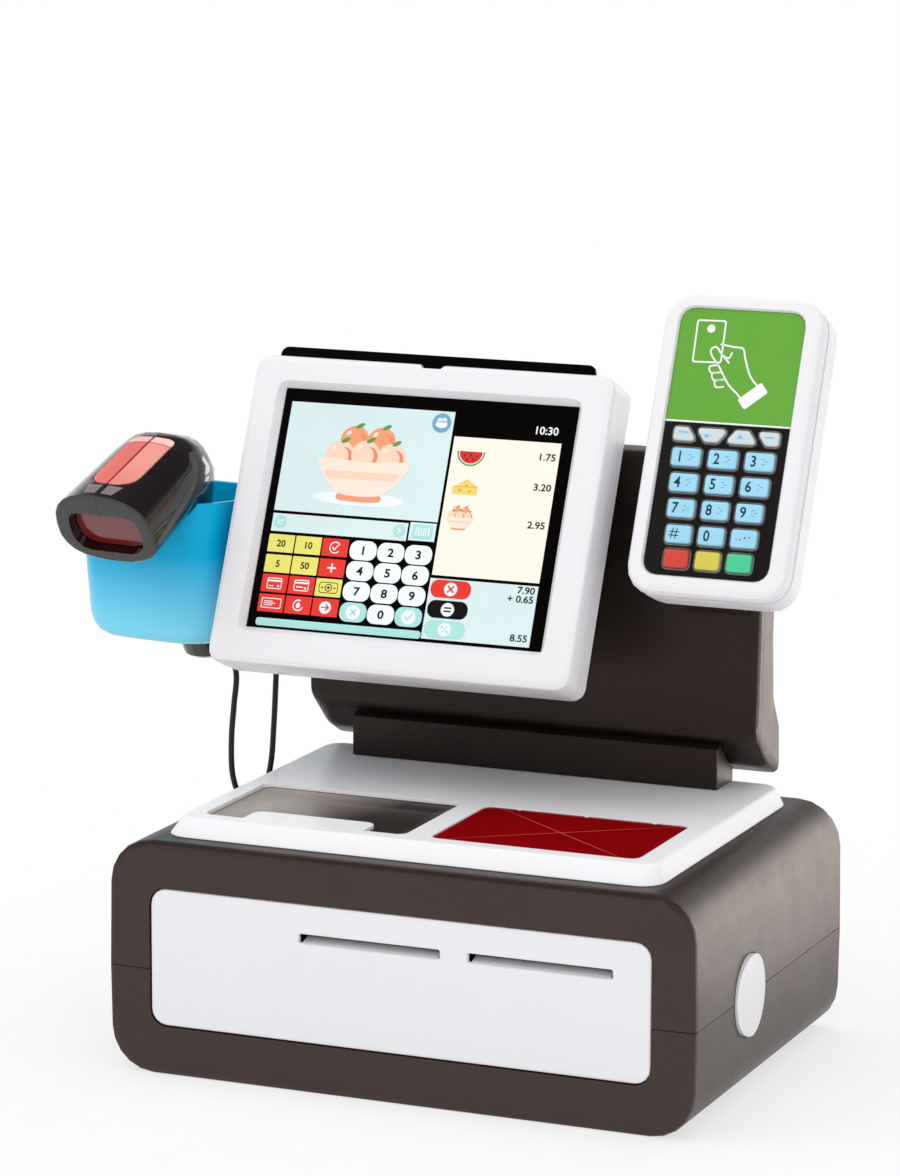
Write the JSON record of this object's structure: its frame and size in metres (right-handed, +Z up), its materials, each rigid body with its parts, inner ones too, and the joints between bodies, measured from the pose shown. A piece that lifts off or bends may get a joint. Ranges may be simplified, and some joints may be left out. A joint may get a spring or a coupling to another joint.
{
  "type": "toy self checkout stand",
  "caption": "Free-standing toy checkout: base with a sliding cash drawer, mast with tilted screen and key pad, hand scanner in a holster.",
  "frame": {"origin": "centre of the base's underside, on the surface that the toy stands on", "axes": "+X to the customer's right, +Y to the back, +Z up; the drawer opens towards -Y"},
  "size_m": [0.4838, 0.266, 0.4657],
  "materials": {
    "dark_plastic": "satin dark brown moulded plastic",
    "black_gloss": "glossy black moulded plastic",
    "white_plastic": "semi-gloss white moulded plastic",
    "blue_plastic": "semi-gloss sky blue moulded plastic",
    "red_window": "glossy deep red see-through plastic",
    "salmon_plastic": "semi-gloss salmon moulded plastic",
    "green_label": "printed green sticker on a flat plate",
    "pale_blue_key": "pale blue moulded key",
    "pale_key": "pale grey moulded key",
    "red_key": "red moulded key",
    "yellow_key": "yellow moulded key",
    "green_key": "green moulded key",
    "screen_print": "printed card under a glossy film",
    "cord_rubber": "soft black cord sheath",
    "cell_metal": "steel can",
    "circuit_green": "circuit board laminate"
  },
  "bodies": {
    "stand": {"base_lower_shell": "dark_plastic", "base_upper_shell": "dark_plastic", "battery_door": "dark_plastic", "battery_a": "cell_metal", "battery_b": "cell_metal", "battery_c": "cell_metal", "drawer_rail_left": "dark_plastic", "drawer_rail_right": "dark_plastic", "top_deck": "white_plastic", "change_tray": "dark_plastic", "scan_window": "red_window", "scan_light": "white_plastic", "mast_front_shell": "dark_plastic", "mast_rear_shell": "dark_plastic", "mast_foot": "dark_plastic", "speaker": "cell_metal", "circuit_board": "circuit_green", "cord_relief_mast": "cord_rubber", "screen_bezel": "white_plastic", "screen_rear_shell": "white_plastic", "screen_backplate": "dark_plastic", "screen_mount": "dark_plastic", "pinpad_mount": "dark_plastic", "pinpad_front_shell": "white_plastic", "pinpad_rear_shell": "white_plastic", "pinpad_label": "green_label", "keypad_frame": "black_gloss", "scanner_holster": "blue_plastic", "scanner_cord": "cord_rubber"},
    "drawer": {"drawer_front": "white_plastic", "drawer_tray": "dark_plastic", "coin_insert": "dark_plastic"},
    "drawer_release": {"drawer_button": "white_plastic"},
    "scanner": {"scanner_left_half": "black_gloss", "scanner_right_half": "black_gloss", "scanner_window": "red_window", "scanner_insert_left": "salmon_plastic", "scanner_insert_right": "salmon_plastic", "cord_relief_scanner": "cord_rubber"},
    "trigger": {"scanner_trigger": "salmon_plastic"},
    "card": {"screen_card": "screen_print"},
    "key_1_cap": {"key_1": "pale_blue_key"},
    "key_2_cap": {"key_2": "pale_blue_key"},
    "key_3_cap": {"key_3": "pale_blue_key"},
    "key_4_cap": {"key_4": "pale_blue_key"},
    "key_5_cap": {"key_5": "pale_blue_key"},
    "key_6_cap": {"key_6": "pale_blue_key"},
    "key_7_cap": {"key_7": "pale_blue_key"},
    "key_8_cap": {"key_8": "pale_blue_key"},
    "key_9_cap": {"key_9": "pale_blue_key"},
    "key_sign_cap": {"key_sign": "pale_blue_key"},
    "key_0_cap": {"key_0": "pale_blue_key"},
    "key_dots_cap": {"key_dots": "pale_blue_key"},
    "red_key_cap": {"red_key": "red_key"},
    "yellow_key_cap": {"yellow_key": "yellow_key"},
    "green_key_cap": {"green_key": "green_key"},
    "soft_key_a_cap": {"soft_key_a": "pale_key"},
    "soft_key_b_cap": {"soft_key_b": "pale_key"},
    "soft_key_c_cap": {"soft_key_c": "pale_key"},
    "soft_key_d_cap": {"soft_key_d": "pale_key"}
  },
  "joints": [
    {"name": "drawer_slide", "type": "slide", "parent": "stand", "child": "drawer", "axis": [0, -1, 0], "range_m": [0, 0.11]},
    {"name": "drawer_release_press", "type": "slide", "parent": "stand", "child": "drawer_release", "axis": [-1, 0, 0], "range_m": [0, 0.003], "stiffness_N_per_m": 500},
    {"name": "scanner_lift", "type": "slide", "parent": "stand", "child": "scanner", "axis": [-0.0618, -0.4399, 0.8959], "range_m": [0, 0.08]},
    {"name": "trigger_pull", "type": "slide", "parent": "scanner", "child": "trigger", "axis": [0.1392, 0.9903, 0], "range_m": [0, 0.0025], "stiffness_N_per_m": 400},
    {"name": "card_slide", "type": "slide", "parent": "stand", "child": "card", "axis": [0, 0.3959, 0.9183], "range_m": [0, 0.15]},
    {"name": "key_1_press", "type": "slide", "parent": "stand", "child": "key_1_cap", "axis": [0, 0.9183, -0.3959], "range_m": [0, 0.0015], "stiffness_N_per_m": 250},
    {"name": "key_2_press", "type": "slide", "parent": "stand", "child": "key_2_cap", "axis": [0, 0.9183, -0.3959], "range_m": [0, 0.0015], "stiffness_N_per_m": 250},
    {"name": "key_3_press", "type": "slide", "parent": "stand", "child": "key_3_cap", "axis": [0, 0.9183, -0.3959], "range_m": [0, 0.0015], "stiffness_N_per_m": 250},
    {"name": "key_4_press", "type": "slide", "parent": "stand", "child": "key_4_cap", "axis": [0, 0.9183, -0.3959], "range_m": [0, 0.0015], "stiffness_N_per_m": 250},
    {"name": "key_5_press", "type": "slide", "parent": "stand", "child": "key_5_cap", "axis": [0, 0.9183, -0.3959], "range_m": [0, 0.0015], "stiffness_N_per_m": 250},
    {"name": "key_6_press", "type": "slide", "parent": "stand", "child": "key_6_cap", "axis": [0, 0.9183, -0.3959], "range_m": [0, 0.0015], "stiffness_N_per_m": 250},
    {"name": "key_7_press", "type": "slide", "parent": "stand", "child": "key_7_cap", "axis": [0, 0.9183, -0.3959], "range_m": [0, 0.0015], "stiffness_N_per_m": 250},
    {"name": "key_8_press", "type": "slide", "parent": "stand", "child": "key_8_cap", "axis": [0, 0.9183, -0.3959], "range_m": [0, 0.0015], "stiffness_N_per_m": 250},
    {"name": "key_9_press", "type": "slide", "parent": "stand", "child": "key_9_cap", "axis": [0, 0.9183, -0.3959], "range_m": [0, 0.0015], "stiffness_N_per_m": 250},
    {"name": "key_sign_press", "type": "slide", "parent": "stand", "child": "key_sign_cap", "axis": [0, 0.9183, -0.3959], "range_m": [0, 0.0015], "stiffness_N_per_m": 250},
    {"name": "key_0_press", "type": "slide", "parent": "stand", "child": "key_0_cap", "axis": [0, 0.9183, -0.3959], "range_m": [0, 0.0015], "stiffness_N_per_m": 250},
    {"name": "key_dots_press", "type": "slide", "parent": "stand", "child": "key_dots_cap", "axis": [0, 0.9183, -0.3959], "range_m": [0, 0.0015], "stiffness_N_per_m": 250},
    {"name": "red_key_press", "type": "slide", "parent": "stand", "child": "red_key_cap", "axis": [0, 0.9183, -0.3959], "range_m": [0, 0.0015], "stiffness_N_per_m": 250},
    {"name": "yellow_key_press", "type": "slide", "parent": "stand", "child": "yellow_key_cap", "axis": [0, 0.9183, -0.3959], "range_m": [0, 0.0015], "stiffness_N_per_m": 250},
    {"name": "green_key_press", "type": "slide", "parent": "stand", "child": "green_key_cap", "axis": [0, 0.9183, -0.3959], "range_m": [0, 0.0015], "stiffness_N_per_m": 250},
    {"name": "soft_key_a_press", "type": "slide", "parent": "stand", "child": "soft_key_a_cap", "axis": [0, 0.9183, -0.3959], "range_m": [0, 0.0015], "stiffness_N_per_m": 250},
    {"name": "soft_key_b_press", "type": "slide", "parent": "stand", "child": "soft_key_b_cap", "axis": [0, 0.9183, -0.3959], "range_m": [0, 0.0015], "stiffness_N_per_m": 250},
    {"name": "soft_key_c_press", "type": "slide", "parent": "stand", "child": "soft_key_c_cap", "axis": [0, 0.9183, -0.3959], "range_m": [0, 0.0015], "stiffness_N_per_m": 250},
    {"name": "soft_key_d_press", "type": "slide", "parent": "stand", "child": "soft_key_d_cap", "axis": [0, 0.9183, -0.3959], "range_m": [0, 0.0015], "stiffness_N_per_m": 250}
  ]
}
